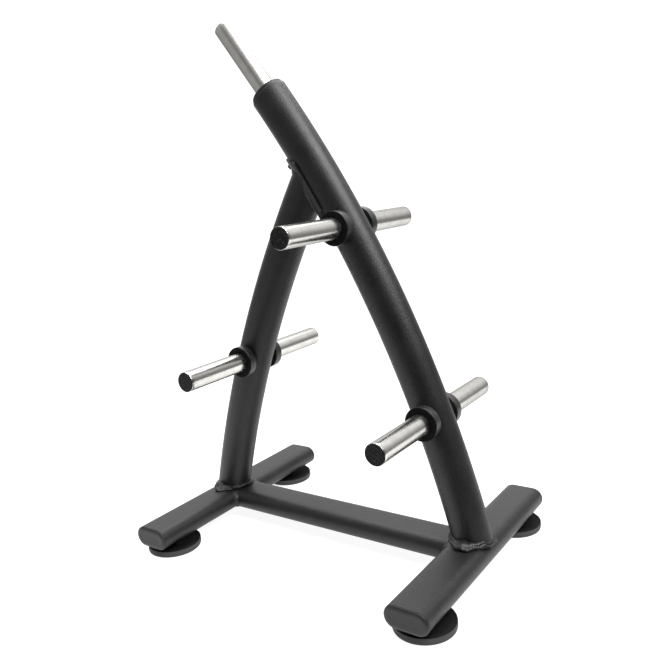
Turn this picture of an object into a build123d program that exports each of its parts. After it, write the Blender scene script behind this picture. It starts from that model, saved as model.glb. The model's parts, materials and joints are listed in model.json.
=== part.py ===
from build123d import *
import os
from math import asin, atan2, cos, degrees, radians, sin, sqrt, tan

# Storage tree for bored weight plates. All sizes are in millimetres.
# +X runs from the rear cross tube to the front one, +Y runs along the cross tubes, +Z is up.
# The origin is on the floor, in the middle of the footprint.

# Base tubes, a flat-oval section
base_tube_width = 100.0
base_tube_height = 50.0
base_tube_wall = 3.0
cross_tube_length = 610.0
cross_tube_spacing = 715.0

# Feet and their fasteners
foot_radius = 66.0
foot_disc_height = 16.0
foot_boss_radius = 30.0
foot_boss_height = 10.5
foot_from_tube_end = 70.0
foot_rim_round = 2.0
foot_sole_round = 1.2
foot_screw_radius = 5.0
foot_screw_head_radius = 8.0
foot_screw_head_height = 8.0
foot_screw_socket_width = 8.0
foot_washer_radius = 12.0
foot_washer_thickness = 2.0
foot_nut_width = 17.0
foot_nut_height = 8.0

# Uprights, bent from oval tube
upright_depth = 92.0
upright_width = 80.0
upright_wall = 3.0
bend_radius = 2900.0
front_lean = 13.75
rear_lean = 14.75
front_upright_length = 1115.0

# Bolted top joint: a curved plate on the rear upright's top, seated under the front upright
plate_thickness = 5.0
plate_length = 194.0
plate_width = 85.0
plate_drop = 11.0
plate_edge_depth = 17.5
joint_bolt_spacing = 160.0
joint_bolt_radius = 4.0
joint_bolt_head_radius = 6.5
joint_bolt_head_height = 7.0
joint_bolt_socket_width = 6.0
joint_washer_radius = 8.0
joint_washer_thickness = 1.6
joint_nut_width = 13.0
joint_nut_height = 8.0

# Plate horns, their rubber stop rings and end caps
horn_radius = 24.0
horn_wall = 2.5
horn_tip = 249.0
front_top_horn_below_plate = 22.5
front_lower_horn_height = 351.0
rear_horn_height = 447.0
ring_radius = 39.0
ring_thickness = 22.5
ring_edge_round = 2.5
horn_cap_inset = 0.8
horn_cap_flange = 1.5
horn_cap_plug_length = 18.0
horn_cap_wall = 2.0
horn_seat_step = 0.5

# Top horn on the front upright's end
top_horn_reach = 205.0
top_horn_depth = 140.0
horn_disc_thickness = 6.0
upper_disc_depth = 34.0
collar_height = 9.5
collar_inset = 3.0
collar_edge_round = 3.0
collar_plug_length = 20.0

# End caps of the cross tubes
end_cap_flange = 5.0
end_cap_inset = 1.0
end_cap_edge_round = 4.0
end_cap_plug_length = 22.0
end_cap_wall = 2.5

# Weld beads, by leg length
foot_weld = 8.0
foot_weld_drop = 3.0
corner_weld = 8.0
plate_weld = 7.0

# Clearances
seat_gap = 0.2
bolt_clearance = 0.5
fastener_gap = 0.1
shoulder_gap = 0.3
cut_margin = 1.0

# Places worked out from the sizes above
tube_bottom = foot_disc_height + foot_boss_height
tube_top = tube_bottom + base_tube_height
tube_middle = tube_bottom + base_tube_height / 2
front_x = cross_tube_spacing / 2
half_depth = upright_depth / 2
half_width = upright_width / 2
foot_y = cross_tube_length / 2 - foot_from_tube_end
past_the_part = 2 * (cross_tube_spacing + cross_tube_length)
horn_seat_radius = horn_radius - horn_seat_step
horn_hole_radius = horn_seat_radius + seat_gap


def flat_oval(width, height, grow=0.0):
    """Face with two flat sides and two half-round ends, wide along its own x."""
    return SlotOverall(width + 2 * grow, height + 2 * grow)


def arc_centre(lean):
    """Centre of the bend of an upright that stands at +X and leans towards -X."""
    return Vector(
        front_x - bend_radius * cos(radians(lean)),
        0,
        tube_top - bend_radius * sin(radians(lean)),
    )


def station(lean, along):
    """Plane across an upright at a length along its axis: x outwards, y across, z up the tube."""
    angle = radians(lean) + along / bend_radius
    outward = Vector(cos(angle), 0, sin(angle))
    upward = Vector(-sin(angle), 0, cos(angle))
    return Plane(origin=arc_centre(lean) + outward * bend_radius, x_dir=outward, z_dir=upward)


def bent_oval(lean, start, end, grow=0.0):
    """Solid oval bar bent along the upright's axis, larger all round by grow."""
    section = station(lean, start) * Ellipse(half_depth + grow, half_width + grow)
    centre = arc_centre(lean)
    turn = degrees((end - start) / bend_radius)
    return revolve(section, axis=Axis((centre.X, centre.Y, centre.Z), (0, -1, 0)), revolution_arc=turn)


def along_at_height(lean, height):
    """Length along an upright's axis at which it reaches a height above the floor."""
    angle = asin(sin(radians(lean)) + (height - tube_top) / bend_radius)
    return (angle - radians(lean)) * bend_radius


def crossing():
    """Point where the two uprights' axes would cross, from two circles of one radius."""
    front = arc_centre(front_lean)
    rear = arc_centre(rear_lean)
    rear = Vector(-rear.X, 0, rear.Z)
    middle = (front + rear) / 2
    apart = front - rear
    half = apart.length / 2
    rise = sqrt(bend_radius**2 - half**2)
    across = Vector(-apart.Z, 0, apart.X) / apart.length
    if across.Z < 0:
        across = -across
    return middle + across * rise


def along_at_point(lean, point):
    """Length along an upright's axis at a point on it."""
    centre = arc_centre(lean)
    angle = atan2(point.Z - centre.Z, point.X - centre.X)
    return (angle - radians(lean)) * bend_radius


def to_rear(shape):
    """The same shape on the rear side."""
    return mirror(shape, about=Plane.YZ)


def disc(plane, radius, start, end):
    """Round bar along a plane's normal, from one distance to another."""
    return extrude(plane.offset(start) * Circle(radius), amount=end - start)


def hexagon(plane, width, start, end):
    """Hexagonal bar of a width across flats, along a plane's normal."""
    corner_radius = width / 2 / cos(radians(30))
    return extrude(plane.offset(start) * RegularPolygon(corner_radius, 6), amount=end - start)


# Joint geometry shared by the plate, the rear upright's top and the bolts
cross_point = crossing()
front_cross_along = along_at_point(front_lean, cross_point)
rear_cross_along = along_at_point(rear_lean, Vector(-cross_point.X, 0, cross_point.Z))
front_tilt = front_lean + degrees(front_cross_along / bend_radius)
rear_tilt = rear_lean + degrees(rear_cross_along / bend_radius)
joint_angle = radians(front_tilt + rear_tilt)
plate_inner_grow = seat_gap
plate_outer_grow = seat_gap + plate_thickness
rear_meets_plate = front_cross_along - (half_depth + plate_outer_grow) / tan(joint_angle)
plate_along = rear_meets_plate - plate_drop


def cross_tube_bar(grow=0.0):
    """Filled bar of the front cross tube's outer shape."""
    section = Plane(origin=(front_x, 0, tube_middle), x_dir=(1, 0, 0), z_dir=(0, 1, 0))
    length = cross_tube_length
    face = section.offset(-length / 2) * flat_oval(base_tube_width, base_tube_height, grow)
    return extrude(face, amount=length)


def cross_tube():
    """Front cross tube with a hole for each foot's screw."""
    tube = cross_tube_bar() - cross_tube_bar(-base_tube_wall)
    for side in (-1, 1):
        hole = Plane(origin=(front_x, side * foot_y, tube_bottom))
        tube -= disc(hole, foot_screw_radius + bolt_clearance, -base_tube_wall, 2 * base_tube_wall)
    return tube


def connecting_bar(grow=0.0):
    """Filled bar of the connecting tube's outer shape, from one cross tube's middle to the other's."""
    section = Plane(origin=(-front_x, 0, tube_middle), x_dir=(0, 1, 0), z_dir=(1, 0, 0))
    return extrude(section * flat_oval(base_tube_width, base_tube_height, grow), amount=2 * front_x)


def base_bar(grow=0.0):
    """Filled bar of the front cross tube and the connecting tube together."""
    return cross_tube_bar(grow) + connecting_bar(grow)


def connecting_tube():
    """Connecting tube, its ends shaped to the rounded sides of the cross tubes."""
    tube = connecting_bar() - connecting_bar(-base_tube_wall)
    front = cross_tube_bar()
    return tube - front - to_rear(front)


def level_slab(low, high):
    """Level slab between two heights, wider than the part."""
    slab = Box(past_the_part, past_the_part, high - low)
    return Pos(0, 0, (low + high) / 2) * slab


def upright_tube(lean, end):
    """Bent tube, its foot cut level to stand on the flat top of the base tubes."""
    start = -base_tube_height / 2
    bore = bent_oval(lean, start - cut_margin, end + cut_margin, -upright_wall)
    tube = bent_oval(lean, start, end) - bore
    return tube - level_slab(0, tube_top)


def bolt_planes():
    """Planes at the top joint's bolts, with z square out of the front upright's underside."""
    planes = []
    for side in (-1, 1):
        across = station(front_lean, plate_along + side * joint_bolt_spacing / 2)
        planes.append(Plane(origin=across.origin, x_dir=across.z_dir, z_dir=-across.x_dir))
    return planes


def front_upright():
    """Front upright with the two holes of the top joint."""
    tube = upright_tube(front_lean, front_upright_length)
    for plane in bolt_planes():
        tube -= disc(plane, joint_bolt_radius + bolt_clearance, half_depth / 2, upright_depth)
    return tube


def rear_upright():
    """Rear upright, its top shaped to the outside of the curved plate."""
    tube = to_rear(upright_tube(rear_lean, rear_cross_along))
    return tube - bent_oval(front_lean, 0, front_upright_length, plate_outer_grow)


def plate_outline():
    """Block under the front upright, of the plate's outline with its round ends."""
    middle = station(front_lean, plate_along)
    outline = Plane(origin=middle.origin, x_dir=middle.z_dir, z_dir=-middle.x_dir)
    face = outline.offset(plate_edge_depth) * SlotOverall(plate_length, plate_width)
    return extrude(face, amount=upright_depth)


def saddle_plate():
    """Curved plate with round ends that hugs the front upright's underside."""
    low_end = plate_along - plate_length
    high_end = plate_along + plate_length
    shell = bent_oval(front_lean, low_end, high_end, plate_outer_grow)
    shell -= bent_oval(front_lean, low_end - cut_margin, high_end + cut_margin, plate_inner_grow)
    plate = shell & plate_outline()
    for plane in bolt_planes():
        plate -= disc(plane, joint_bolt_radius + bolt_clearance, half_depth / 2, upright_depth)
    return plate


def joint_bolts():
    """Socket-head bolts of the top joint."""
    under_head = half_depth + plate_outer_grow + fastener_gap + joint_washer_thickness
    nut_top = nut_seat() - joint_nut_height
    bolts = []
    for plane in bolt_planes():
        head_end = under_head + joint_bolt_head_height
        bolt = disc(plane, joint_bolt_radius, nut_top - joint_bolt_radius / 2, under_head)
        bolt += disc(plane, joint_bolt_head_radius, under_head, head_end)
        bolt -= hexagon(plane, joint_bolt_socket_width, head_end - joint_bolt_head_height / 2, head_end)
        bolts.append(bolt)
    return Compound(bolts)


def joint_washers():
    """Flat washers under the bolt heads."""
    seat = half_depth + plate_outer_grow + fastener_gap
    washers = []
    for plane in bolt_planes():
        washer = disc(plane, joint_washer_radius, seat, seat + joint_washer_thickness)
        washer -= disc(plane, joint_bolt_radius + bolt_clearance, seat, seat + joint_washer_thickness)
        washers.append(washer)
    return Compound(washers)


def nut_seat():
    """Distance from the upright's axis at which a nut's corners meet the curved inner wall."""
    corner = joint_nut_width / 2 / cos(radians(30))
    inner_depth = half_depth - upright_wall
    inner_width = half_width - upright_wall
    return inner_depth * sqrt(1 - (corner / inner_width) ** 2) - fastener_gap


def joint_nuts():
    """Nuts welded inside the front upright."""
    seat = nut_seat()
    nuts = []
    for plane in bolt_planes():
        nut = hexagon(plane, joint_nut_width, seat - joint_nut_height, seat)
        nut -= disc(plane, joint_bolt_radius + fastener_gap, seat - joint_nut_height, seat)
        nuts.append(nut)
    return Compound(nuts)


def foot_weld_bead(lean):
    """Level bead round an upright's foot, with the fill under the foot's overhang."""
    start = -base_tube_height / 2
    top = base_tube_height
    bead = bent_oval(lean, start, top, foot_weld)
    bead &= level_slab(tube_top - foot_weld_drop, tube_top + foot_weld)
    bead += bent_oval(lean, start, top) & level_slab(tube_middle, tube_top - foot_weld_drop / 2)
    bead -= bent_oval(lean, start - cut_margin, top + cut_margin, -upright_wall)
    foot = bent_oval(lean, start - cut_margin * 2, top + cut_margin * 2)
    bead -= foot & level_slab(tube_top, tube_top + foot_weld * 3)
    return bead - base_bar()


def corner_weld_bead(lean):
    """Bead on both sides of the connecting tube where it meets a cross tube, clear of the foot's bead."""
    slab = level_slab(tube_bottom, tube_top)
    near_seam = Box(base_tube_width, past_the_part, past_the_part)
    near_seam = Pos(front_x - base_tube_width / 2, 0, 0) * near_seam
    bead = connecting_bar(corner_weld) & cross_tube_bar(corner_weld) & slab & near_seam
    foot_bead = bent_oval(lean, -base_tube_height / 2, base_tube_height / 2, foot_weld)
    return bead - base_bar() - foot_bead


def plate_weld_bead():
    """Bead round the rear upright's top, on the curved plate."""
    start = rear_cross_along - 2 * upright_depth
    bead = to_rear(bent_oval(rear_lean, start, rear_cross_along, plate_weld))
    bead &= bent_oval(front_lean, 0, front_upright_length, plate_outer_grow + plate_weld)
    bead -= to_rear(bent_oval(rear_lean, start - cut_margin, rear_cross_along + cut_margin))
    bead -= bent_oval(front_lean, 0, front_upright_length, plate_outer_grow)
    return bead & plate_outline()


def horn_plane(lean, along, side, rear):
    """Plane on an upright's axis at a length along it, with z out along a horn."""
    point = station(lean, along).origin
    x = -point.X if rear else point.X
    return Plane(origin=(x, 0, point.Z), x_dir=(1, 0, 0), z_dir=(0, side, 0))


def horn_tube(plane, start, shoulder, end):
    """Tube whose outside is turned down a little up to a shoulder, to take a ring or a cap."""
    tube = disc(plane, horn_seat_radius, start, shoulder) + disc(plane, horn_radius, shoulder, end)
    return tube - disc(plane, horn_radius - horn_wall, start, end)


def horn(plane, lean, rear):
    """Horn tube, its root shaped to the side of the upright and turned down under the stop ring."""
    shoulder = half_width + ring_thickness + shoulder_gap
    tube = horn_tube(plane, 0, shoulder, horn_tip - horn_cap_flange)
    upright = bent_oval(lean, 0, front_upright_length)
    if rear:
        upright = to_rear(upright)
    return tube - upright


def stop_ring(plane):
    """Rubber ring at a horn's root, against the side of the upright."""
    outer_face = half_width + ring_thickness
    ring = disc(plane, ring_radius, half_width, outer_face)
    ring = fillet(ring.edges().filter_by(GeomType.CIRCLE), ring_edge_round)
    return ring - disc(plane, horn_hole_radius, half_width, outer_face)


def horn_cap(plane, tip):
    """Push-in cap: a thin flange over the tube's end and a hollow plug inside it."""
    tube_end = tip - horn_cap_flange
    plug_radius = horn_radius - horn_wall - seat_gap
    plug_end = tube_end - horn_cap_plug_length
    cap = disc(plane, horn_radius - horn_cap_inset, tube_end, tip)
    cap = round_far_edge(cap, plane, horn_cap_flange / 2)
    cap += disc(plane, plug_radius, plug_end, tube_end)
    return cap - disc(plane, plug_radius - horn_cap_wall, plug_end, tube_end)


def round_far_edge(body, plane, radius):
    """Body with the rim of its furthest flat face along a plane's normal rounded."""
    far_face = body.faces().sort_by(Axis(plane.origin, plane.z_dir))[-1]
    return fillet(far_face.edges(), radius)


def top_horn():
    """Horn that stands on the front upright's end, turned down below the collar cap's top."""
    plane = station(front_lean, front_upright_length)
    return horn_tube(plane, -top_horn_depth, collar_height + shoulder_gap, top_horn_reach - horn_cap_flange)


def top_horn_discs():
    """Two oval discs welded inside the front upright, which hold the top horn."""
    horn_axis = station(front_lean, front_upright_length)
    lower_disc_depth = top_horn_depth - horn_disc_thickness
    discs = []
    for depth in (upper_disc_depth, lower_disc_depth):
        end = front_upright_length - depth
        plate = bent_oval(front_lean, end - horn_disc_thickness, end, -upright_wall - seat_gap)
        hole = disc(horn_axis, horn_hole_radius, -2 * top_horn_depth, 0)
        discs.append(plate - hole)
    return Compound(discs)


def collar_cap():
    """Cap that closes the front upright's end round the top horn."""
    plane = station(front_lean, front_upright_length)
    face = Ellipse(half_depth - collar_inset, half_width - collar_inset)
    plug_face = Ellipse(half_depth - upright_wall - seat_gap, half_width - upright_wall - seat_gap)
    cap = extrude(plane * face, amount=collar_height)
    cap = round_far_edge(cap, plane, collar_edge_round)
    cap += extrude(plane * plug_face, amount=-collar_plug_length)
    return cap - disc(plane, horn_hole_radius, -collar_plug_length, collar_height)


def cross_tube_cap(side):
    """Push-in end cap of the front cross tube."""
    tube_end = cross_tube_length / 2
    plane = Plane(origin=(front_x, side * tube_end, tube_middle), x_dir=(1, 0, 0), z_dir=(0, side, 0))
    plug_grow = -base_tube_wall - seat_gap
    rim = flat_oval(base_tube_width, base_tube_height, -end_cap_inset)
    plug = flat_oval(base_tube_width, base_tube_height, plug_grow)
    hollow = flat_oval(base_tube_width, base_tube_height, plug_grow - end_cap_wall)
    cap = extrude(plane * rim, amount=end_cap_flange)
    cap = round_far_edge(cap, plane, end_cap_edge_round)
    cap += extrude(plane * plug, amount=-end_cap_plug_length)
    return cap - extrude(plane * hollow, amount=-end_cap_plug_length)


def foot_plane(side):
    """Plane on the floor under a foot of the front cross tube."""
    return Plane(origin=(front_x, side * foot_y, 0))


def foot(side):
    """Rubber foot: a wide disc, a boss that meets the tube, and a counterbore for its screw."""
    plane = foot_plane(side)
    body = disc(plane, foot_radius, 0, foot_disc_height)
    rims = body.edges().filter_by(GeomType.CIRCLE).sort_by(Axis.Z)
    body = fillet(rims[-1], foot_rim_round)
    rims = body.edges().filter_by(GeomType.CIRCLE).sort_by(Axis.Z)
    body = fillet(rims[0], foot_sole_round)
    body += disc(plane, foot_boss_radius, foot_disc_height, tube_bottom)
    body -= disc(plane, foot_screw_radius + bolt_clearance, 0, tube_bottom)
    return body - disc(plane, foot_washer_radius + bolt_clearance, 0, foot_disc_height)


def foot_screw(side):
    """Socket-head screw that holds a foot from below."""
    plane = foot_plane(side)
    under_head = foot_disc_height - foot_washer_thickness
    head_start = under_head - foot_screw_head_height
    nut_top = tube_bottom + base_tube_wall + foot_nut_height
    screw = disc(plane, foot_screw_radius, under_head, nut_top + foot_screw_radius / 2)
    screw += disc(plane, foot_screw_head_radius, head_start, under_head)
    socket = foot_screw_head_height / 2
    return screw - hexagon(plane, foot_screw_socket_width, head_start, head_start + socket)


def foot_washer(side):
    """Washer under a foot screw's head."""
    plane = foot_plane(side)
    seat = foot_disc_height - foot_washer_thickness
    washer = disc(plane, foot_washer_radius, seat, foot_disc_height)
    return washer - disc(plane, foot_screw_radius + bolt_clearance, seat, foot_disc_height)


def foot_nut(side):
    """Nut welded to the bottom wall inside a cross tube."""
    plane = foot_plane(side)
    seat = tube_bottom + base_tube_wall
    nut = hexagon(plane, foot_nut_width, seat, seat + foot_nut_height)
    return nut - disc(plane, foot_screw_radius + fastener_gap, seat, seat + foot_nut_height)


def four_of(make):
    """One fastener at each foot, as a group of separate solids."""
    solids = []
    for side in (-1, 1):
        front = make(side)
        solids.append(front)
        solids.append(to_rear(front))
    return Compound(solids)


def write(name, shape):
    """Write one piece to its own file."""
    export_step(shape, f"parts/{name}.step")


sides = {"left": -1, "right": 1}
front_top_horn_along = plate_along - plate_length / 2 - front_top_horn_below_plate
horn_places = {
    "front_top": (front_lean, front_top_horn_along, False),
    "front_lower": (front_lean, along_at_height(front_lean, front_lower_horn_height), False),
    "rear": (rear_lean, along_at_height(rear_lean, rear_horn_height), True),
}


def write_base():
    """Cross tubes, connecting tube, end caps, feet and the base's welds."""
    tube = cross_tube()
    write("front_cross_tube", tube)
    write("rear_cross_tube", to_rear(tube))
    write("base_connecting_tube", connecting_tube())
    write("connecting_tube_front_weld", corner_weld_bead(front_lean))
    write("connecting_tube_rear_weld", to_rear(corner_weld_bead(rear_lean)))
    for side, sign in sides.items():
        cap = cross_tube_cap(sign)
        rubber_foot = foot(sign)
        write(f"front_cross_tube_cap_{side}", cap)
        write(f"rear_cross_tube_cap_{side}", to_rear(cap))
        write(f"front_foot_{side}", rubber_foot)
        write(f"rear_foot_{side}", to_rear(rubber_foot))
    write("foot_screws", four_of(foot_screw))
    write("foot_washers", four_of(foot_washer))
    write("foot_weld_nuts", four_of(foot_nut))


def write_uprights():
    """Both uprights, their foot welds and the bolted joint at the top."""
    write("front_upright", front_upright())
    write("rear_upright", rear_upright())
    write("front_upright_weld", foot_weld_bead(front_lean))
    write("rear_upright_weld", to_rear(foot_weld_bead(rear_lean)))
    write("joint_saddle_plate", saddle_plate())
    write("saddle_plate_weld", plate_weld_bead())
    write("joint_bolts", joint_bolts())
    write("joint_washers", joint_washers())
    write("joint_weld_nuts", joint_nuts())


def write_horns():
    """Six plate horns with their rings and caps, and the top horn."""
    for place, (lean, along, rear) in horn_places.items():
        for side, sign in sides.items():
            plane = horn_plane(lean, along, sign, rear)
            write(f"{place}_horn_{side}", horn(plane, lean, rear))
            write(f"{place}_stop_ring_{side}", stop_ring(plane))
            write(f"{place}_horn_cap_{side}", horn_cap(plane, horn_tip))
    write("top_horn", top_horn())
    write("top_horn_discs", top_horn_discs())
    write("top_horn_cap", horn_cap(station(front_lean, front_upright_length), top_horn_reach))
    write("upright_collar_cap", collar_cap())


os.makedirs("parts", exist_ok=True)
write_base()
write_uprights()
write_horns()
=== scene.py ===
import bpy
import json
import math
from mathutils import Matrix, Vector, noise


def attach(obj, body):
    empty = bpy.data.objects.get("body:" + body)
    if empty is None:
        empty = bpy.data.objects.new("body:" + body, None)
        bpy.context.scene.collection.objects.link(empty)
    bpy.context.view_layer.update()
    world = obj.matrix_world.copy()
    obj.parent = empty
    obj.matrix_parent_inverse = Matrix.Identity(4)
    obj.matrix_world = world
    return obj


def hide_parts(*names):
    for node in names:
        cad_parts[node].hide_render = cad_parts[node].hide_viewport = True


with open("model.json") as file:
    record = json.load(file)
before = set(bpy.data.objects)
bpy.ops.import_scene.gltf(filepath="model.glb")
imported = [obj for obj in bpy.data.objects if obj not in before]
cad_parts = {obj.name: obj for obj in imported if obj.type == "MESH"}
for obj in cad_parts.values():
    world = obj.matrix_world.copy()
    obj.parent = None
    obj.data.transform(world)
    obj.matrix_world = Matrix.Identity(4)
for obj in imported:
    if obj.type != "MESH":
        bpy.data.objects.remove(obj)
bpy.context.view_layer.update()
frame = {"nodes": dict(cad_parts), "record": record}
millimetre = 0.001
print("frame loaded:", len(frame["nodes"]), "nodes")


# camera, at the photograph's viewing angle
view = {
    "azimuth": 36.2235,      # degrees round from the -Y side towards +X
    "elevation": 11.572,
    "roll": -4.6576,
    "distance": 1.74377,     # metres from the aim point
    "aimAside": 0.00464,
    "aimHeight": 0.53653,
    "lens": 40.321,          # on a 36 mm sensor
}


def addCamera():
    azimuth = math.radians(view["azimuth"])
    elevation = math.radians(view["elevation"])
    roll = math.radians(view["roll"])
    level = math.cos(elevation)
    back = Vector((math.sin(azimuth) * level, -math.cos(azimuth) * level, math.sin(elevation)))
    flatRight = Vector((math.cos(azimuth), math.sin(azimuth), 0))
    flatUp = back.cross(flatRight)
    right = flatRight * math.cos(roll) + flatUp * math.sin(roll)
    up = flatUp * math.cos(roll) - flatRight * math.sin(roll)
    place = flatRight * view["aimAside"] + Vector((0, 0, view["aimHeight"])) + back * view["distance"]
    lens = bpy.data.cameras.new("viewCamera")
    lens.lens = view["lens"]
    lens.sensor_width = 36
    lens.clip_end = 200
    camera = bpy.data.objects.new("viewCamera", lens)
    bpy.context.scene.collection.objects.link(camera)
    camera.matrix_world = Matrix.Translation(place) @ Matrix((right, up, back)).transposed().to_4x4()
    bpy.context.scene.camera = camera


addCamera()
print("camera set")


# one socket of a node tree, usable in sums
class Wire:
    def __init__(self, tree, socket=None):
        self.tree = tree
        self.socket = socket

    def node(self, kind, settings=None, inputs=None, out=0):
        made = self.tree.nodes.new("ShaderNode" + kind)
        for name, value in (settings or {}).items():
            if name == "stops":
                self.setStops(made.color_ramp, value)
            else:
                setattr(made, name, value)
        for name, value in (inputs or {}).items():
            if isinstance(value, Wire):
                self.tree.links.new(value.socket, made.inputs[name])
            else:
                made.inputs[name].default_value = value
        return Wire(self.tree, made.outputs[out] if made.outputs else None)

    def setStops(self, ramp, stops):
        while len(ramp.elements) < len(stops):
            ramp.elements.new(0.5)
        for element, (place, shade) in zip(ramp.elements, stops):
            element.position = place
            element.color = (shade, shade, shade, 1)

    def maths(self, operation, first, second):
        return self.node("Math", {"operation": operation}, {0: first, 1: second})

    def __add__(self, other):
        return self.maths("ADD", self, other)

    def __radd__(self, other):
        return self.maths("ADD", other, self)

    def __sub__(self, other):
        return self.maths("SUBTRACT", self, other)

    def __rsub__(self, other):
        return self.maths("SUBTRACT", other, self)

    def __mul__(self, other):
        return self.maths("MULTIPLY", self, other)

    def __rmul__(self, other):
        return self.maths("MULTIPLY", other, self)

    def __pow__(self, other):
        return self.maths("POWER", self, other)

    def __rpow__(self, other):
        return self.maths("POWER", other, self)


def newMaterial(name):
    material = bpy.data.materials.new(name)
    material.use_nodes = True
    tree = material.node_tree
    tree.nodes.clear()
    return material, Wire(tree)


def finishMaterial(wire, inputs):
    shader = wire.node("BsdfPrincipled", None, inputs)
    wire.node("OutputMaterial", None, {"Surface": shader})


def objectPoint(wire, scale=(1, 1, 1)):
    point = wire.node("TexCoord", None, None, "Object")
    return wire.node("VectorMath", {"operation": "MULTIPLY"}, {0: point, 1: scale})


def speckle(wire, point, scale, detail=2.0, roughness=0.5):
    return wire.node("TexNoise", None, {"Vector": point, "Scale": scale, "Detail": detail, "Roughness": roughness})


def ramp(wire, value, stops):
    return wire.node("ValToRGB", {"stops": stops}, {"Fac": value})


def blend(wire, mask, first, second):
    return wire.node("Mix", {"data_type": "RGBA"}, {0: mask, 6: first, 7: second}, 2)


def bumpFrom(wire, height, distance, strength=1.0):
    return wire.node("Bump", None, {"Height": height, "Distance": distance, "Strength": strength})


# fine satin powder coat on every steel tube and bead
powderCoat = {
    "dark": (0.0028, 0.0029, 0.0031, 1),
    "light": (0.0110, 0.0111, 0.0113, 1),
    "roughness": 0.44,
    "roughnessSpread": 0.10,
    "grainPerMetre": 620,
    "grainDepth": 0.00034,
    "waveDepth": 0.0006,
    "mottleDepth": 0.0005,
}


def makePowderCoat():
    material, wire = newMaterial("powderCoat")
    point = objectPoint(wire)
    grain = speckle(wire, point, powderCoat["grainPerMetre"], 3.0, 0.6)
    cloud = speckle(wire, point, 14.0, 4.0, 0.55)
    wave = speckle(wire, point, 60.0, 2.0, 0.5)
    mottle = speckle(wire, point, 240.0, 3.0, 0.6)
    shade = ramp(wire, cloud * 0.5 + mottle * 0.3 + grain * 0.2, [(0.35, 0), (0.65, 1)])
    roughness = powderCoat["roughness"] + (cloud - 0.5) * powderCoat["roughnessSpread"]
    roughness = roughness + (grain - 0.5) * 0.14 + (mottle - 0.5) * 0.16
    height = grain * powderCoat["grainDepth"] + wave * powderCoat["waveDepth"] * 0.25 + mottle * powderCoat["mottleDepth"]
    finishMaterial(wire, {
        "Base Color": blend(wire, shade, powderCoat["dark"], powderCoat["light"]),
        "Roughness": roughness,
        "Specular IOR Level": 0.42,
        "Normal": bumpFrom(wire, height, 1.0),
    })
    return material


# bright plated horn tube, with lengthwise streaks and faint turned rings
brightHorn = {
    "clean": (0.67, 0.66, 0.635, 1),
    "dull": (0.47, 0.46, 0.43, 1),
    "edge": (0.35, 0.35, 0.34, 1),
    "roughness": 0.21,
    "topRoughness": 0.28,
    "streaksAround": 420,
}


def makeBrightHorn(name, along, roughness, wear):
    material, wire = newMaterial(name)
    longPoint = objectPoint(wire, tuple(6 if along[i] else brightHorn["streaksAround"] for i in range(3)))
    ringPoint = objectPoint(wire, tuple(900 if along[i] else 8 for i in range(3)))
    streak = speckle(wire, longPoint, 1.0, 3.0, 0.65)
    turned = speckle(wire, ringPoint, 1.0, 2.0, 0.5)
    cloud = speckle(wire, objectPoint(wire), 38.0, 5.0, 0.6)
    dullness = ramp(wire, cloud * 0.6 + streak * 0.4, [(0.42, 0), (0.66, 1)])
    uneven = dullness * 0.10 + (streak - 0.5) * 0.10 + (turned - 0.5) * 0.05
    height = (streak * 0.000016 + turned * 0.000010) * wear
    finishMaterial(wire, {
        "Base Color": blend(wire, dullness * 0.6, brightHorn["clean"], brightHorn["dull"]),
        "Metallic": 1.0,
        "Roughness": roughness + uneven * wear,
        "Specular Tint": brightHorn["edge"],
        "Normal": bumpFrom(wire, height, 1.0),
    })
    return material


# moulded rubber of the stop rings: the outer face painted near-black as painted shade for its recess, a rim polished by
# the plates and lighter with dust
rubber = {
    # face: painted shade, near-black where the ring's recessed face would be in shade
    "face": (0.0012, 0.0012, 0.0013, 1),
    "rim": (0.0060, 0.0060, 0.0062, 1),
    "dusty": (0.026, 0.026, 0.025, 1),
    "faceFrom": 0.0603,      # how far the face stands out from the middle plane
    "faceTo": 0.0618,
    "roughness": 0.60,
    "rimCoat": 0.75,
    "coatRoughness": 0.34,
}


def makeRubber():
    material, wire = newMaterial("mouldedRubber")
    point = objectPoint(wire)
    out = wire.node("Math", {"operation": "ABSOLUTE"}, {0: wire.node("SeparateXYZ", None, {"Vector": point}, 1)})
    rise = (out - rubber["faceFrom"]) * (1 / (rubber["faceTo"] - rubber["faceFrom"]))
    # painted shade: the outer face takes the near-black face colour, the rest the lighter rim colour
    face = ramp(wire, rise, [(0.0, 0), (1.0, 1)])
    grain = speckle(wire, point, 700.0, 3.0, 0.6)
    cloud = speckle(wire, point, 42.0, 5.0, 0.6)
    dust = ramp(wire, cloud, [(0.45, 0), (0.78, 1)])
    rim = blend(wire, dust * 0.55, rubber["rim"], rubber["dusty"])
    finishMaterial(wire, {
        "Base Color": blend(wire, face, rim, rubber["face"]),
        "Roughness": rubber["roughness"] + (cloud - 0.5) * 0.22 + face * 0.2,
        "Specular IOR Level": 0.16,
        "Coat Weight": (1 - face) * rubber["rimCoat"],
        "Coat Roughness": rubber["coatRoughness"],
        "Normal": bumpFrom(wire, grain * 0.00016 + cloud * 0.0004, 1.0),
    })
    return material


# the same rubber on the feet, with painted shade: the top painted near-black as the shadow of the tube above it, the
# sides painted paler as lit rubber and varied by scuffs
footRubberPaintedShade = {
    # top: painted shade for the tube's shadow; side: the paler lit colour
    "top": (0.0022, 0.0022, 0.0024, 1),
    "side": (0.052, 0.052, 0.051, 1),
    "sideTop": 0.0152,
    "roughness": 0.66,
}


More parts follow.
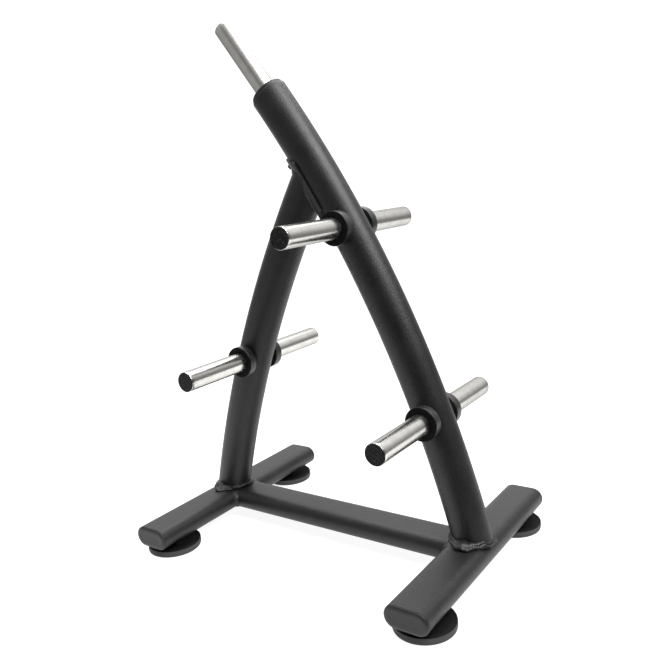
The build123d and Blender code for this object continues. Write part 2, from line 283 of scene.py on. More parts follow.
def makeFootRubber():
    material, wire = newMaterial("footRubber")
    point = objectPoint(wire)
    height = wire.node("SeparateXYZ", None, {"Vector": point}, 2)
    grain = speckle(wire, point, 700.0, 3.0, 0.6)
    scuff = speckle(wire, objectPoint(wire, (60, 60, 500)), 1.0, 4.0, 0.65)
    # painted shade: the side colour up to sideTop, the near-black top colour above it
    side = 1 - ramp(wire, height * (1 / footRubberPaintedShade["sideTop"]), [(0.93, 0), (1.0, 1)])
    finishMaterial(wire, {
        "Base Color": blend(wire, side * (0.55 + scuff * 0.9), footRubberPaintedShade["top"], footRubberPaintedShade["side"]),
        "Roughness": footRubberPaintedShade["roughness"] + (scuff - 0.5) * 0.2,
        "Specular IOR Level": 0.18,
        "Normal": bumpFrom(wire, grain * 0.00016, 1.0),
    })
    return material


# moulded plastic of the end caps and the collar
capPlastic = {
    "dark": (0.013, 0.013, 0.0135, 1),
    "worn": (0.030, 0.030, 0.0305, 1),
    "wearFrom": 0.60,
    "wearShare": 0.4,
    "cloudShare": 0.25,
    "roughness": 0.44,
    "shine": 0.4,
}

# the horns' caps, blacker and blotched by plates knocking against them
hornCapPlasticShade = {
    "dark": (0.0016, 0.0016, 0.0018, 1),
    "worn": (0.070, 0.070, 0.071, 1),
    "wearFrom": 0.46,
    "wearShare": 0.75,
    "cloudShare": 0.18,
    "roughness": 0.55,
    "shine": 0.14,
}


def makeCapPlastic(name, look):
    material, wire = newMaterial(name)
    point = objectPoint(wire)
    grain = speckle(wire, point, 1300.0, 2.0, 0.5)
    cloud = speckle(wire, point, 75.0, 4.0, 0.6)
    wear = ramp(wire, speckle(wire, objectPoint(wire, (300, 90, 300)), 1.0, 4.0, 0.7), [(look["wearFrom"], 0), (0.76, 1)])
    height = grain * 0.00012 + cloud * 0.0003
    finishMaterial(wire, {
        "Base Color": blend(wire, wear * look["wearShare"] + cloud * look["cloudShare"], look["dark"], look["worn"]),
        "Roughness": look["roughness"] + (cloud - 0.5) * 0.2 + (grain - 0.5) * 0.1,
        "Specular IOR Level": look["shine"],
        "Normal": bumpFrom(wire, height, 1.0),
    })
    return material


# steel of the fasteners, black or zinc plated
def makeSteel(name, dark, light, metallic, roughness):
    material, wire = newMaterial(name)
    point = objectPoint(wire)
    grain = speckle(wire, point, 900.0, 3.0, 0.6)
    cloud = speckle(wire, point, 120.0, 3.0, 0.6)
    finishMaterial(wire, {
        "Base Color": blend(wire, cloud, dark, light),
        "Metallic": metallic,
        "Roughness": roughness + (grain - 0.5) * 0.15,
        "Normal": bumpFrom(wire, grain * 0.00008, 1.0),
    })
    return material


coat = makePowderCoat()
hornAcross = makeBrightHorn("brightHornAcross", (0, 1, 0), brightHorn["roughness"], 1.0)
hornUp = makeBrightHorn("brightHornUp", (0, 0, 0), brightHorn["topRoughness"], 0.1)
ringRubber = makeRubber()
footRubber = makeFootRubber()
plastic = makeCapPlastic("capPlastic", capPlastic)
hornCapPlastic = makeCapPlastic("hornCapPlastic", hornCapPlasticShade)
blackSteel = makeSteel("blackOxideSteel", (0.016, 0.016, 0.017, 1), (0.035, 0.034, 0.033, 1), 0.0, 0.38)
zincSteel = makeSteel("zincPlatedSteel", (0.44, 0.44, 0.45, 1), (0.62, 0.62, 0.60, 1), 1.0, 0.34)
plainSteel = makeSteel("bareSteelPlate", (0.20, 0.19, 0.18, 1), (0.32, 0.31, 0.30, 1), 1.0, 0.50)
print("materials made")


# turning point lists into pieces
def addPiece(name, points, faces, material, nodes, sharp=38):
    mesh = bpy.data.meshes.new(name)
    mesh.from_pydata([tuple(p) for p in points], [], faces)
    mesh.validate()
    mesh.update()
    piece = bpy.data.objects.new(name, mesh)
    bpy.context.scene.collection.objects.link(piece)
    mesh.shade_smooth()
    mesh.set_sharp_from_angle(angle=math.radians(sharp))
    mesh.materials.append(material)
    fixNormals(mesh)
    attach(piece, "root")
    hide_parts(*nodes)
    return piece


def fixNormals(mesh):
    volume = 0.0
    for face in mesh.polygons:
        corners = [mesh.vertices[i].co for i in face.vertices]
        for second, third in zip(corners[1:], corners[2:]):
            volume += corners[0].dot(second.cross(third))
    if volume < 0:
        mesh.flip_normals()


def wrapLoops(loops, closeRows, capFirst=False, capLast=False, start=0):
    # faces between closed loops of equal length, joined last to first where closeRows is set
    count = len(loops[0])
    faces = []
    rows = len(loops) if closeRows else len(loops) - 1
    for row in range(rows):
        nextRow = (row + 1) % len(loops)
        for i in range(count):
            j = (i + 1) % count
            faces.append((start + row * count + i, start + row * count + j,
                          start + nextRow * count + j, start + nextRow * count + i))
    if capFirst:
        faces.append(tuple(start + i for i in range(count)))
    if capLast:
        faces.append(tuple(start + (len(loops) - 1) * count + i for i in range(count)))
    return faces


def softCorners(corners, steps=5):
    # a profile whose corners (a, b, radius) are rounded by that radius
    path = []
    count = len(corners)
    for i in range(count):
        here = Vector(corners[i][:2])
        radius = corners[i][2] if len(corners[i]) > 2 else 0
        if radius <= 0 or i in (0, count - 1):
            path.append(here)
            continue
        before = (Vector(corners[i - 1][:2]) - here).normalized()
        after = (Vector(corners[i + 1][:2]) - here).normalized()
        half = before.angle(after) / 2
        reach = radius / math.tan(half)
        centre = here + (before + after).normalized() * radius / math.sin(half)
        first = here + before * reach - centre
        last = here + after * reach - centre
        for step in range(steps + 1):
            share = step / steps
            turn = math.sin((1 - share) * (math.pi - 2 * half)), math.sin(share * (math.pi - 2 * half))
            path.append(centre + (first * turn[0] + last * turn[1]) / math.sin(math.pi - 2 * half))
    return path


def axisFrame(origin, outward):
    # origin and three directions, with the last one along a turned piece's axis
    outward = Vector(outward).normalized()
    side = Vector((1, 0, 0)) if abs(outward.x) < 0.9 else Vector((0, 1, 0))
    first = (side - outward * side.dot(outward)).normalized()
    return Vector(origin), first, outward.cross(first), outward


def turned(place, profile, steps=96):
    # loops of a turned piece from its (radius, height) profile
    origin, first, second, along = place
    loops = []
    for radius, height in profile:
        loop = []
        for i in range(steps):
            angle = 2 * math.pi * i / steps
            loop.append(origin + first * radius * math.cos(angle) + second * radius * math.sin(angle) + along * height)
        loops.append(loop)
    return loops


def flatten(loops):
    return [point for loop in loops for point in loop]


# sizes of the frame, in metres
base = {
    "front": frame["record"]["mounts"][-1]["pos_m"][0] - 0.040,
    "tubeWidth": 0.100,
    "tubeHeight": 0.050,
    "tubeWall": 0.003,
    "tubeEnd": 0.305,
    "tubeBottom": 0.0265,
    "edge": 0.0004,
}
base["top"] = base["tubeBottom"] + base["tubeHeight"]
base["middle"] = base["tubeBottom"] + base["tubeHeight"] / 2
corner = base["tubeHeight"] / 2
flatHalf = base["tubeWidth"] / 2 - corner

upright = {
    "bend": 2.9,
    "frontLean": math.radians(13.75),
    "rearLean": math.radians(14.75),
    "depth": 0.092,
    "width": 0.080,
    "wall": 0.003,
    "frontLength": 1.115,
    "edge": 0.0005,
    "rowLength": 0.009,
}
halfDepth = upright["depth"] / 2
halfWidth = upright["width"] / 2


def flatOval(shrink, steps=14):
    # points of the base tube's section, wide along the first value
    radius = corner - shrink
    path = []
    for side in (1, -1):
        for i in range(steps + 1):
            angle = math.pi * (i / steps - 0.5)
            path.append((side * (flatHalf + radius * math.cos(angle)), side * radius * math.sin(angle)))
        for share in (0.25, 0.5, 0.75):
            path.append((side * flatHalf * (1 - 2 * share), side * radius))
    return path


def sectionHeight(distance):
    # how high the flat-oval section stands over its middle at a distance from its centre line
    past = max(0.0, abs(distance) - flatHalf)
    return math.sqrt(max(0.0, corner**2 - past**2))


def baseTop(x, y):
    # height of the base tubes' upper side under a point
    cross = sectionHeight(abs(x) - base["front"])
    joining = sectionHeight(y) if abs(x) < base["front"] else 0.0
    return base["middle"] + max(cross, joining)


def bendCentre(lean):
    return Vector((base["front"] - upright["bend"] * math.cos(lean), 0, base["top"] - upright["bend"] * math.sin(lean)))


def onUpright(lean, along, across, up, mirrored=False):
    # point at a length along an upright, across outwards from its axis and up along +Y
    angle = lean + along / upright["bend"]
    radius = upright["bend"] + across
    point = bendCentre(lean) + Vector((math.cos(angle) * radius, up, math.sin(angle) * radius))
    if mirrored:
        point.x = -point.x
    return point


def ovalPoint(lean, along, turn, grow, mirrored=False):
    across = (halfDepth + grow) * math.cos(turn)
    up = (halfWidth + grow) * math.sin(turn)
    return onUpright(lean, along, across, up, mirrored)


def solve(measure, low, high):
    # where a rising measure passes zero
    for _ in range(40):
        middle = (low + high) / 2
        if measure(middle) > 0:
            high = middle
        else:
            low = middle
    return (low + high) / 2


def footAlong(lean, turn, grow):
    # where a line down the tube meets the level of the base's flat top
    return solve(lambda along: ovalPoint(lean, along, turn, grow).z - base["top"], -corner, corner)


def insideFront(point, grow):
    # above zero inside the front upright's oval, larger all round by grow
    centre = bendCentre(upright["frontLean"])
    across = math.hypot(point.x - centre.x, point.z - centre.z) - upright["bend"]
    return 1 - (across / (halfDepth + grow))**2 - (point.y / (halfWidth + grow))**2


plate = {
    "gap": 0.0002,
    "thickness": 0.005,
    "length": 0.194,
    "width": 0.085,
    "edgeDepth": 0.0175,
    "along": 0.8706,
    "rearCross": 0.9135,
    "edge": 0.0009,
}
plateOuter = plate["gap"] + plate["thickness"]


def rearTopAlong(turn, grow):
    def inside(along):
        point = ovalPoint(upright["rearLean"], along, turn, grow, True)
        return insideFront(point, plateOuter)
    return solve(inside, plate["rearCross"] - 0.25, plate["rearCross"])


def addUpright(name, node, lean, mirrored, topOf):
    steps = 112
    rows = int(upright["frontLength"] / upright["rowLength"])
    edge = upright["edge"]
    wall = upright["wall"]
    columns = []
    for i in range(steps):
        turn = 2 * math.pi * i / steps
        low = footAlong(lean, turn, 0)
        lowInside = footAlong(lean, turn, -wall)
        top = topOf(turn, 0)
        topInside = topOf(turn, -wall)
        column = [ovalPoint(lean, low + (top - edge - low) * row / rows, turn, 0, mirrored) for row in range(rows + 1)]
        column.append(ovalPoint(lean, top - edge * 0.3, turn, -edge * 0.3, mirrored))
        column.append(ovalPoint(lean, top, turn, -edge, mirrored))
        inner = [ovalPoint(lean, lowInside + (topInside - lowInside) * row / rows, turn, -wall, mirrored)
                 for row in range(rows, -1, -1)]
        columns.append(column + inner)
    piece = addPiece(name, flatten(columns), wrapColumns(columns), coat, [node])
    return piece


def wrapColumns(columns):
    # faces of a closed tube wall from columns that each run up outside and down inside
    return wrapLoops(columns, True)


addUpright("frontUprightTube", "front_upright", upright["frontLean"], False,
           lambda turn, grow: upright["frontLength"])
addUpright("rearUprightTube", "rear_upright", upright["rearLean"], True, rearTopAlong)
print("uprights made")


def addCrossTube(name, node, x):
    edge = base["edge"]
    end = base["tubeEnd"]
    loops = []
    rows = 40
    for row in range(rows + 1):
        y = -end + edge + 2 * (end - edge) * row / rows
        loops.append([Vector((x + a, y, base["middle"] + b)) for a, b in flatOval(0)])
    loops.append([Vector((x + a, end, base["middle"] + b)) for a, b in flatOval(edge)])
    for row in range(rows + 1):
        y = end - 2 * end * row / rows
        loops.append([Vector((x + a, y, base["middle"] + b)) for a, b in flatOval(base["tubeWall"])])
    loops.append([Vector((x + a, -end, base["middle"] + b)) for a, b in flatOval(edge)])
    addPiece(name, flatten(loops), wrapLoops(loops, True), coat, [node])


addCrossTube("frontCrossTube", "front_cross_tube", base["front"])
addCrossTube("rearCrossTube", "rear_cross_tube", -base["front"])


def addConnectingTube():
    rows = 60
    columns = []
    for (y, z), (yIn, zIn) in zip(flatOval(0), flatOval(base["tubeWall"])):
        end = base["front"] - flatHalf - math.sqrt(max(0.0, corner**2 - z**2))
        endIn = base["front"] - flatHalf - math.sqrt(max(0.0, corner**2 - zIn**2))
        column = [Vector((-end + 2 * end * row / rows, y, base["middle"] + z)) for row in range(rows + 1)]
        column += [Vector((endIn - 2 * endIn * row / rows, yIn, base["middle"] + zIn)) for row in range(rows + 1)]
        columns.append(column)
    addPiece("baseConnectingTube", flatten(columns), wrapColumns(columns), coat,
             ["base_connecting_tube"])


addConnectingTube()
print("base tubes made")


# weld beads: laid ripple by ripple along a seam, each a corner, its two legs and the foot of a fill
bead = {
    "ripple": 0.0046,
    "rippleDepth": 0.10,
    "lump": 0.16,
    "lumpLength": 0.016,
    "bulge": 0.66,
    "groove": 0.0,
    "undercut": 0.0,
    "sunk": 0.0006,
    "profileSteps": 14,
}


def addBead(name, node, seams, closed, seed, look=bead):
    points = []
    faces = []
    for seam in seams:
        loops = []
        travelled = 0.0
        before = seam[0][0]
        for root, legA, legB, fill in seam:
            travelled += (root - before).length
            before = root
            place = root / bead["lumpLength"] + Vector((0, 0, seed))
            lump = 1 + look["lump"] * noise.noise(place) * 2
            phase = (travelled + 0.0012 * noise.noise(place * 2.3)) / bead["ripple"] % 1.0
            scallop = 1 + look["rippleDepth"] * (math.sqrt(1 - (2 * phase - 1)**2) - 0.75)
            toA = legA * lump
            toB = legB * (2 - lump)
            a = root + toA
            b = root + toB
            away = (toA.normalized() + toB.normalized()).normalized()
            toe = b + toA.normalized() * look["undercut"]
            control = root + (toA + toB) * look["bulge"] * scallop * lump
            loop = [root - away * bead["sunk"], a - toB.normalized() * bead["sunk"]]
            for step in range(bead["profileSteps"] + 1):
                share = step / bead["profileSteps"]
                point = a * (1 - share)**2 + control * 2 * share * (1 - share) + toe * share**2
                dent = look["groove"] * math.exp(-((share - 0.52) / 0.13)**2)
                loop.append(point - away * dent)
            loop.append(b - toA.normalized() * bead["sunk"] - toB.normalized() * look["undercut"] * 1.6)
            loop.append(fill)
            loops.append(loop)
        faces += wrapLoops(loops, closed, not closed, not closed, len(points))
        points += flatten(loops)
    return addPiece(name, points, faces, coat, [node], sharp=70)


footWeld = {
    "leg": 0.008,
    "height": 0.0105,
    "drop": 0.003,
    "rippleDepth": 0.045,
    "lump": 0.24,
    "groove": 0.0020,
    "bulge": 0.86,
    "undercut": 0.0024,
}


def footSeam(lean, mirrored, blobTurn, blobSpread, blobReach, steps=720):
    # level bead round a foot, with one wide blob where the welder stopped
    seam = []
    for i in range(steps):
        turn = 2 * math.pi * i / steps
        away = (math.degrees(turn) - blobTurn + 180) % 360 - 180
        blob = blobReach * math.exp(-(away / blobSpread)**2)
        reach = footWeld["leg"] + blob * (1 + 0.25 * noise.noise(Vector((turn * 9, 0, lean * 40))))
        along = footAlong(lean, turn, 0)
        here = ovalPoint(lean, along, turn, 0)
        above = ovalPoint(lean, along + footWeld["height"] + blob * 0.12, turn, 0)
        wide = ovalPoint(lean, along, turn, reach)
        beside = Vector((wide.x, wide.y, max(baseTop(wide.x, wide.y), base["top"] - footWeld["drop"])))
        under = ovalPoint(lean, along, turn, -upright["wall"] / 2)
        under.z = baseTop(under.x, under.y) - bead["sunk"]
        if mirrored:
            for point in (here, above, beside, under):
                point.x = -point.x
        seam.append((here, above - here, beside - here, under))
    return seam


addBead("frontUprightBead", "front_upright_weld", [footSeam(upright["frontLean"], False, -90, 23, 0.027)],
        True, 3.1, footWeld)
addBead("rearUprightBead", "rear_upright_weld", [footSeam(upright["rearLean"], True, -80, 24, 0.022)],
        True, 8.7, footWeld)


def cornerSeams(end, leg=0.008, steps=170):
    seams = []
    for side in (-1, 1):
        seam = []
        for i in range(steps + 1):
            turn = math.radians(-86 + 158 * i / steps)
            reach = corner * math.cos(turn)
            height = base["middle"] + corner * math.sin(turn)
            here = Vector((end * (base["front"] - flatHalf - reach), side * (flatHalf + reach), height))
            seam.append((here, Vector((-end * leg, 0, 0)), Vector((0, side * leg, 0)), here))
        seams.append(seam)
    return seams


addBead("connectingTubeFrontBead", "connecting_tube_front_weld", cornerSeams(1), False, 5.5)
addBead("connectingTubeRearBead", "connecting_tube_rear_weld", cornerSeams(-1), False, 1.9)


def plateSeam(leg=0.0065, steps=560):
    seam = []
    lean = upright["rearLean"]
    for i in range(steps):
        turn = 2 * math.pi * i / steps
        along = rearTopAlong(turn, 0)
        here = ovalPoint(lean, along, turn, 0, True)
        below = ovalPoint(lean, along - leg, turn, 0, True)
        wideAlong = rearTopAlong(turn, leg)
        beside = ovalPoint(lean, wideAlong, turn, leg, True)
        toB = beside - here
        if toB.length > leg:
            toB = toB.normalized() * leg
        seam.append((here, below - here, toB, here))
    return seam


addBead("saddlePlateBead", "saddle_plate_weld", [plateSeam()], True, 12.4)
print("weld beads made")


def addSaddlePlate():
    lengthSteps = 96
    widthSteps = 40
    outerDepth = halfDepth + plateOuter
    outerWidth = halfWidth + plateOuter
    innerDepth = halfDepth + plate["gap"]
    innerWidth = halfWidth + plate["gap"]
    innerLimit = innerWidth * math.sqrt(1 - (plate["edgeDepth"] / innerDepth)**2)
    outerLimit = outerWidth * math.sqrt(1 - (plate["edgeDepth"] / outerDepth)**2)
    endRadius = plate["width"] / 2
    straight = plate["length"] / 2 - endRadius
    lean = upright["frontLean"]
    outer = []
    inner = []
    for i in range(lengthSteps + 1):
        share = -math.cos(math.pi * i / lengthSteps)
        u = share * (plate["length"] / 2 - 0.0004)
        past = max(0.0, abs(u) - straight)
        half = math.sqrt(max(1e-9, endRadius**2 - past**2))
        outerRow = []
        innerRow = []
        for j in range(widthSteps + 1):
            w = math.sin(math.pi / 2 * (2 * j / widthSteps - 1))
            yOut = w * min(half, outerLimit)
            yIn = w * min(half, innerLimit)
            deepOut = -outerDepth * math.sqrt(1 - (yOut / outerWidth)**2)
            deepIn = -innerDepth * math.sqrt(1 - (yIn / innerWidth)**2)
            outerRow.append(onUpright(lean, plate["along"] + u, deepOut, yOut))
            innerRow.append(onUpright(lean, plate["along"] + u, deepIn, yIn))
        outer.append(outerRow)
        inner.append(innerRow)
    count = widthSteps + 1
    total = (lengthSteps + 1) * count
    faces = []
    for i in range(lengthSteps):
        for j in range(widthSteps):
            a, b, c, d = i * count + j, i * count + j + 1, (i + 1) * count + j + 1, (i + 1) * count + j
            faces.append((a, b, c, d))
            faces.append((total + d, total + c, total + b, total + a))
        faces.append(((i + 1) * count, i * count, total + i * count, total + (i + 1) * count))
        faces.append((i * count + widthSteps, (i + 1) * count + widthSteps,
                      total + (i + 1) * count + widthSteps, total + i * count + widthSteps))
    last = lengthSteps * count
    for j in range(widthSteps):
        faces.append((j + 1, j, total + j, total + j + 1))
        faces.append((last + j, last + j + 1, total + last + j + 1, total + last + j))
    piece = addPiece("jointSaddlePlate", flatten(outer) + flatten(inner), faces, coat,
                     ["joint_saddle_plate"])
    rounding = piece.modifiers.new("softEdge", "BEVEL")
    rounding.width = plate["edge"]
    rounding.segments = 3
    rounding.angle_limit = math.radians(50)


addSaddlePlate()


# plate horns, their rings and caps
hornSizes = {
    "radius": 0.024,
    "wall": 0.0025,
    "tip": 0.249,
    "capFlange": 0.0015,
    "capInset": 0.0008,
    "tipEdge": 0.0006,
    "ringRadius": 0.039,
    "ringThickness": 0.0225,
    "seatStep": 0.0005,      # turned down under the ring
    "seatGap": 0.0002,
    "shoulderGap": 0.0003,
}


def uprightSide(lean, mirrored, x, z):
    # how far the upright's side stands out from the middle plane at a point
    centre = bendCentre(lean)
    across = math.hypot((-x if mirrored else x) - centre.x, z - centre.z) - upright["bend"]
    return halfWidth * math.sqrt(max(0.0, 1 - (across / halfDepth)**2))


def addHorn(name, node, place, rootOf, shoulder, tip, material):
    radius = hornSizes["radius"]
    seat = radius - hornSizes["seatStep"]
    inner = radius - hornSizes["wall"]
    end = tip - hornSizes["capFlange"]
    edge = hornSizes["tipEdge"]
    profile = [(seat, 0.0), (seat, shoulder), (radius - 0.0002, shoulder)]
    profile += [(radius, shoulder + 0.0002 + (end - edge - shoulder - 0.0002) * i / 24) for i in range(25)]
    profile += [(radius - edge * 0.3, end - edge * 0.3), (radius - edge, end), (inner + edge, end), (inner, end - edge)]
    profile += [(inner, 0.0)]
    loops = turned(place, profile, 128)
    along = place[3]
    for loop in (loops[0], loops[-1]):
        for i, point in enumerate(loop):
            loop[i] = point + along * rootOf(point)
    addPiece(name, flatten(loops), wrapLoops(loops, True), material, [node])


def addHornCap(name, node, place, tip):
    radius = hornSizes["radius"] - hornSizes["capInset"]
    plug = hornSizes["radius"] - hornSizes["wall"] - 0.0002
    end = tip - hornSizes["capFlange"]
    profile = softCorners([
        (plug - 0.002, end - 0.018), (plug, end - 0.018, 0.0005), (plug, end + 0.0002, 0.00005),
        (radius, end + 0.0001, 0.0003), (radius, tip, 0.0009), (radius - 0.004, tip), (radius * 0.6, tip - 0.00015),
        (radius * 0.25, tip - 0.0002), (0.0006, tip - 0.0002),
    ])
    loops = turned(place, profile, 112)
    addPiece(name, flatten(loops), wrapLoops(loops, False, True, True), hornCapPlastic, [node])


def addRing(name, node, place):
    bore = hornSizes["radius"] - hornSizes["seatStep"] + hornSizes["seatGap"]
    radius = hornSizes["ringRadius"]
    near = halfWidth
    far = halfWidth + hornSizes["ringThickness"]
    profile = softCorners([
        (bore + 0.003, near), (radius, near, 0.0016), (radius, far, 0.0030), (bore + 0.0045, far, 0.0006),
        (bore + 0.0036, far - 0.0007, 0.0004), (bore, far - 0.0007, 0.0005), (bore, near, 0.0005), (bore + 0.003, near),
    ], 6)[:-1]
    loops = turned(place, profile, 128)
    addPiece(name, flatten(loops), wrapLoops(loops, True), ringRubber, [node])


def hornMounts():
    for mount in frame["record"]["mounts"]:
        if mount["kind"] == "pin" and mount["name"] != "top_horn":
            yield mount["name"], Vector(mount["pos_m"]), Vector(mount["axis"])


ringFace = halfWidth + hornSizes["ringThickness"] + hornSizes["shoulderGap"]
for mountName, mountPlace, mountAxis in hornMounts():
    where, side = mountName.split("_horn_")
    mirrored = where == "rear"
    lean = upright["rearLean"] if mirrored else upright["frontLean"]
    place = axisFrame((mountPlace.x, 0, mountPlace.z), mountAxis)
    title = "".join(word.capitalize() for word in where.split("_")) + side.capitalize()
    addHorn("horn" + title, f"{where}_horn_{side}", place,
            lambda point: uprightSide(lean, mirrored, point.x, point.z), ringFace, hornSizes["tip"], hornAcross)
    addRing("stopRing" + title, f"{where}_stop_ring_{side}", place)
    addHornCap("hornCap" + title, f"{where}_horn_cap_{side}", place, hornSizes["tip"])
print("horns made")


# top horn and the collar cap round it
topEnd = {
    "reach": 0.205,
    "depth": 0.140,
    "collarHeight": 0.0095,
    "collarInset": 0.003,
    "collarRound": 0.0034,
    "neck": 0.0006,
}


def topPlace():
    lean = upright["frontLean"]
    length = upright["frontLength"]
    origin = onUpright(lean, length, 0, 0)
    angle = lean + length / upright["bend"]
    return axisFrame(origin, (-math.sin(angle), 0, math.cos(angle)))


topFrame = topPlace()
addHorn("hornTop", "top_horn", topFrame, lambda point: -topEnd["depth"],
        topEnd["collarHeight"] + hornSizes["shoulderGap"], topEnd["reach"], hornUp)
addHornCap("hornCapTop", "top_horn_cap", topFrame, topEnd["reach"])


def addCollar():
    origin, first, second, along = topFrame
    hole = hornSizes["radius"] - hornSizes["seatStep"] + hornSizes["seatGap"]
    height = topEnd["collarHeight"]
    inset = topEnd["collarInset"]
    profile = softCorners([
        (-upright["wall"] - 0.0002, -0.020), (-upright["wall"] - 0.0002, topEnd["neck"], 0.0001),
        (-inset, topEnd["neck"], 0.0004), (-inset, height, topEnd["collarRound"]), (-inset - 0.006, height),
    ], 7)
    steps = 128
    loops = []
    for grow, up in profile:
        loops.append([origin + along * up + first * (halfDepth + grow) * math.cos(2 * math.pi * i / steps)
                      + second * (halfWidth + grow) * math.sin(2 * math.pi * i / steps) for i in range(steps)])
    for radius, up in ((hole + 0.0012, height), (hole + 0.0003, height - 0.0003), (hole, height - 0.0012), (hole, -0.020)):
        loops.append([origin + along * up + first * radius * math.cos(2 * math.pi * i / steps)
                      + second * radius * math.sin(2 * math.pi * i / steps) for i in range(steps)])
    addPiece("uprightCollarCap", flatten(loops), wrapLoops(loops, True), plastic,
             ["upright_collar_cap"])


addCollar()


# end caps of the cross tubes
endCap = {
    "flange": 0.005,
    "inset": 0.0005,
    "roundAcross": 0.0095,
    "straight": 0.0008,
    "neck": 0.0004,
    "dish": 0.0006,
}


def addEndCap(name, node, x, side):
    plug = base["tubeWall"] + 0.0002
    profile = [(plug, -0.022), (plug, endCap["neck"]), (endCap["inset"] + 0.0003, endCap["neck"])]
    for i in range(13):
        turn = math.pi / 2 * i / 12
        out = endCap["straight"] + (endCap["flange"] - endCap["straight"]) * math.sin(turn)
        profile.append((endCap["inset"] + endCap["roundAcross"] * (1 - math.cos(turn)), out))
    profile += [(0.0145, endCap["flange"] - endCap["dish"] * 0.5), (0.019, endCap["flange"] - endCap["dish"])]
    profile.append((corner - 0.0004, endCap["flange"] - endCap["dish"]))
    loops = []
    for shrink, out in profile:
        y = side * (base["tubeEnd"] + out)
        loops.append([Vector((x + a, y, base["middle"] + b)) for a, b in flatOval(shrink)])
    addPiece(name, flatten(loops), wrapLoops(loops, False, True, True), plastic, [node])


# round rubber feet
footSizes = {
    "radius": 0.066,
    "discHeight": 0.016,
    "bossRadius": 0.030,
    "bore": 0.0055,
    "counterbore": 0.0125,
    "fromEnd": 0.070,
}


def addFoot(name, node, x, y):
    radius = footSizes["radius"]
    disc = footSizes["discHeight"]
    profile = softCorners([
        (footSizes["bore"], disc), (footSizes["bore"], base["tubeBottom"], 0.0003),
        (footSizes["bossRadius"], base["tubeBottom"], 0.0006), (footSizes["bossRadius"], disc, 0.0030),
        (radius - 0.007, disc, 0.0006), (radius - 0.0062, disc - 0.0006, 0.0004), (radius - 0.0052, disc - 0.0006, 0.0004),
        (radius - 0.0044, disc, 0.0006), (radius - 0.0004, disc, 0.0016), (radius, 0.0045, 0.0010),
        (radius - 0.0008, 0.0030, 0.0006), (radius - 0.0012, 0.0, 0.0010), (footSizes["counterbore"], 0.0, 0.0008),
        (footSizes["counterbore"], disc - 0.0001, 0.0003), (footSizes["bore"], disc - 0.0001),
    ], 5)
    loops = turned(axisFrame((x, y, 0), (0, 0, 1)), profile, 144)
    addPiece(name, flatten(loops), wrapLoops(loops, True), footRubber, [node])


for end, x in (("front", base["front"]), ("rear", -base["front"])):
    for side, sign in (("Left", -1), ("Right", 1)):
        addEndCap(end + "TubeCap" + side, f"{end}_cross_tube_cap_{side.lower()}", x, sign)
        addFoot(end + "Foot" + side, f"{end}_foot_{side.lower()}", x, sign * (base["tubeEnd"] - footSizes["fromEnd"]))
print("caps and feet made")


# fasteners keep their construction shapes
keptNodes = {
    "joint_bolts": blackSteel,
    "joint_washers": blackSteel,
    "joint_weld_nuts": zincSteel,
    "foot_screws": zincSteel,
    "foot_washers": zincSteel,
    "foot_weld_nuts": zincSteel,
    "top_horn_discs": plainSteel,
}
for nodeName, finish in keptNodes.items():
    kept = frame["nodes"][nodeName]
    kept.data.materials.clear()
    kept.data.materials.append(finish)


# pale floor, studio light and backdrop light
studio = {
    "floorAside": 2.6,       # metres each way from the aim point
    "floorAhead": 0.66,      # towards the camera
    "floorBehind": 3.0,
    "floorShade": (0.30, 0.30, 0.30, 1),
    "floorGlow": 0.89,
    "backLevel": 1.25,
    "backTurn": 18,          # degrees from straight behind, towards the right
    "sideHorizon": 0.25,     # share of the backdrop's level low down at its sides
    "sideLow": 0.55,
    "leftLevel": 0.40,
    "leftTurn": -88,
    "cameraSideLevel": 0.025,
    "skyLevel": 0.45,
}


def addFloor():
    material, wire = newMaterial("paleFloor")
    cloud = speckle(wire, objectPoint(wire), 1.3, 3.0, 0.5)
    finishMaterial(wire, {
        "Base Color": blend(wire, cloud * 0.1, studio["floorShade"], (0.27, 0.27, 0.27, 1)),
        "Roughness": 0.75,
        "Emission Color": (1, 1, 1, 1),
        "Emission Strength": studio["floorGlow"],
    })
    azimuth = math.radians(view["azimuth"])
    aside = Vector((math.cos(azimuth), math.sin(azimuth), 0))
    away = Vector((-math.sin(azimuth), math.cos(azimuth), 0))
    corners = []
    for across, ahead in ((-1, -1), (1, -1), (1, 1), (-1, 1)):
        reach = studio["floorBehind"] if ahead > 0 else studio["floorAhead"]
        corners.append(aside * across * studio["floorAside"] + away * ahead * reach)
    mesh = bpy.data.meshes.new("paleFloor")
    mesh.from_pydata(corners, [], [(0, 1, 2, 3)])
    floor = bpy.data.objects.new("paleFloor", mesh)
    mesh.materials.append(material)
    bpy.context.scene.collection.objects.link(floor)


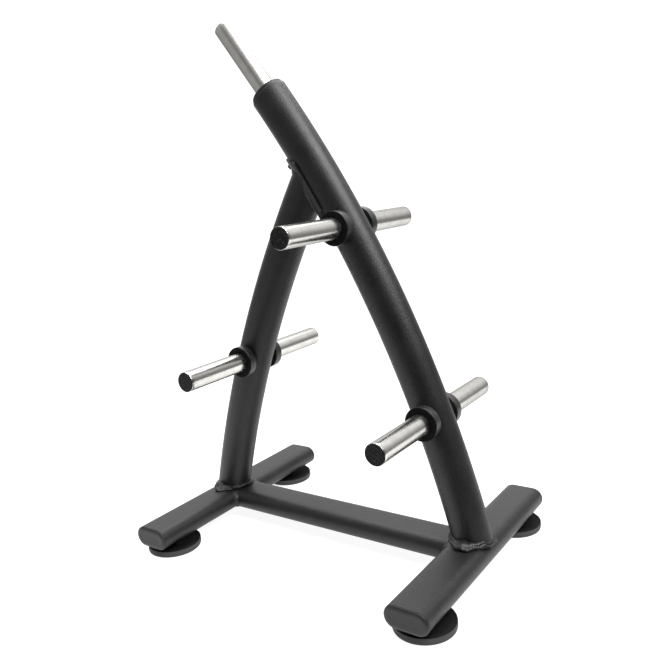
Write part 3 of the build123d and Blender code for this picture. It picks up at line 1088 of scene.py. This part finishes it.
def facing(wire, direction, turn):
    # one where a direction points straight behind the object, turned right by degrees, zero opposite
    azimuth = math.radians(view["azimuth"] - turn)
    away = (-math.sin(azimuth), math.cos(azimuth), 0)
    return wire.node("VectorMath", {"operation": "DOT_PRODUCT"}, {0: direction, 1: away}, "Value") * 0.5 + 0.5


def addWorld():
    world = bpy.data.worlds.new("studioWorld")
    world.use_nodes = True
    tree = world.node_tree
    tree.nodes.clear()
    wire = Wire(tree)
    direction = wire.node("TexCoord", None, None, "Generated")
    height = wire.node("SeparateXYZ", None, {"Vector": direction}, 2)
    back = ramp(wire, facing(wire, direction, studio["backTurn"]), [(0.0, 0), (0.58, 0.02), (0.72, 0.45), (0.82, 1)])
    straight = ramp(wire, facing(wire, direction, 0), [(0.86, 0), (0.93, 1)])
    low = ramp(wire, height, [(0.0, studio["sideHorizon"]), (0.22, studio["sideLow"]), (0.50, 1)])
    left = ramp(wire, facing(wire, direction, studio["leftTurn"]), [(0.80, 0), (0.92, 1)])
    sky = ramp(wire, height, [(0.35, 0), (0.85, 1)])
    behind = back * (straight + (1 - straight) * low) * studio["backLevel"]
    rest = sky * studio["skyLevel"] + left * studio["leftLevel"] + studio["cameraSideLevel"]
    background = wire.node("Background", None, {"Color": behind + (1 - back) * rest, "Strength": 1.0})
    wire.node("OutputWorld", None, {"Surface": background})
    bpy.context.scene.world = world


def addPanel(name, place, aim, size, power):
    lamp = bpy.data.lights.new(name, "AREA")
    lamp.shape = "RECTANGLE"
    lamp.size, lamp.size_y = size
    lamp.energy = power
    panel = bpy.data.objects.new(name, lamp)
    bpy.context.scene.collection.objects.link(panel)
    panel.location = place
    panel.rotation_euler = (Vector(aim) - Vector(place)).to_track_quat("-Z", "Y").to_euler()


panels = {
    "overhead": ((-0.6, 0.8, 3.4), (0, 0, 0.2), (3.0, 3.0), 140),
    "rightSide": ((2.2, -0.4, 3.3), (0, 0, 0.8), (2.2, 2.0), 200),
}


addFloor()
addWorld()
for panelName, settings in panels.items():
    addPanel(panelName, *settings)
bpy.context.scene.view_settings.view_transform = "Standard"
print("floor and lights set")
